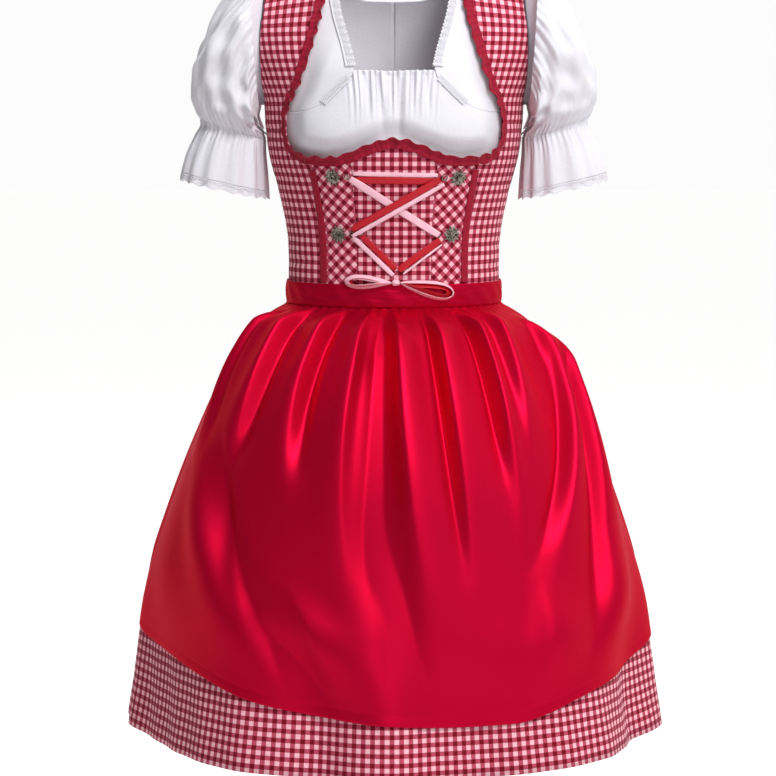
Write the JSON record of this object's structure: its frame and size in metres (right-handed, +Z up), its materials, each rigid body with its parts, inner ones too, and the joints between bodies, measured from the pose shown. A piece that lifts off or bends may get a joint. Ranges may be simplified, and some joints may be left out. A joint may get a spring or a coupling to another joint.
{
  "type": "dirndl dress",
  "caption": "Gathered folk dress with laced bodice over a puff-sleeved blouse and a satin apron, hollow and open as it is worn.",
  "frame": {"origin": "between the shoulders, where neck and shoulder meet, the place the wearer carries it by", "axes": "+Z up along the body, -Y out of the front, +X to the wearer's left"},
  "size_m": [0.6414, 0.6326, 0.9165],
  "materials": {
    "gingham": "matt cotton, pink and dark red 5 mm check",
    "dark_red_trim": "matt woven braid",
    "red_satin": "glossy satin",
    "red_ribbon": "satin ribbon",
    "pale_ribbon": "satin ribbon",
    "white_cotton": "fine matt cotton",
    "white_lace": "cotton lace",
    "old_brass": "antiqued, dull"
  },
  "bodies": {
    "root": {"bodice_centre_front": "gingham", "bodice_hook_panel_right": "gingham", "bodice_hook_panel_left": "gingham", "bodice_side_front_right": "gingham", "bodice_side_front_left": "gingham", "bodice_back_right": "gingham", "bodice_back_left": "gingham", "skirt_front": "gingham", "skirt_back": "gingham", "neck_ruffle": "dark_red_trim", "princess_band_right": "dark_red_trim", "princess_band_left": "dark_red_trim", "apron_skirt": "red_satin", "apron_waistband": "red_satin", "apron_tie_knot": "red_satin", "apron_tie_right": "red_satin", "apron_tie_left": "red_satin", "apron_tie_loop_right": "red_satin", "apron_tie_loop_left": "red_satin", "apron_tie_end_right": "red_satin", "apron_tie_end_left": "red_satin", "ribbon_red_top": "red_ribbon", "ribbon_red_rising": "red_ribbon", "ribbon_red_lower_right": "red_ribbon", "ribbon_red_lower_left": "red_ribbon", "bow_loop_red_right": "red_ribbon", "bow_loop_red_left": "red_ribbon", "ribbon_pale_top": "pale_ribbon", "ribbon_pale_falling": "pale_ribbon", "ribbon_pale_rising": "pale_ribbon", "ribbon_pale_lower_right": "pale_ribbon", "ribbon_pale_lower_left": "pale_ribbon", "bow_knot": "pale_ribbon", "bow_loop_pale_right": "pale_ribbon", "bow_loop_pale_left": "pale_ribbon", "blouse_front": "white_cotton", "blouse_shoulder_right": "white_cotton", "blouse_shoulder_left": "white_cotton", "blouse_back_right": "white_cotton", "blouse_back_left": "white_cotton", "sleeve_right": "white_cotton", "sleeve_left": "white_cotton", "cuff_lace_right": "white_lace", "cuff_lace_left": "white_lace", "neck_lace_right": "white_lace", "neck_lace_left": "white_lace", "insert_lace_right": "white_lace", "insert_lace_left": "white_lace", "rosette_upper_right": "old_brass", "rosette_upper_left": "old_brass", "rosette_lower_right": "old_brass", "rosette_lower_left": "old_brass", "eyelet_upper_right": "old_brass", "eyelet_upper_left": "old_brass", "eyelet_lower_right": "old_brass", "eyelet_lower_left": "old_brass"}
  },
  "joints": []
}
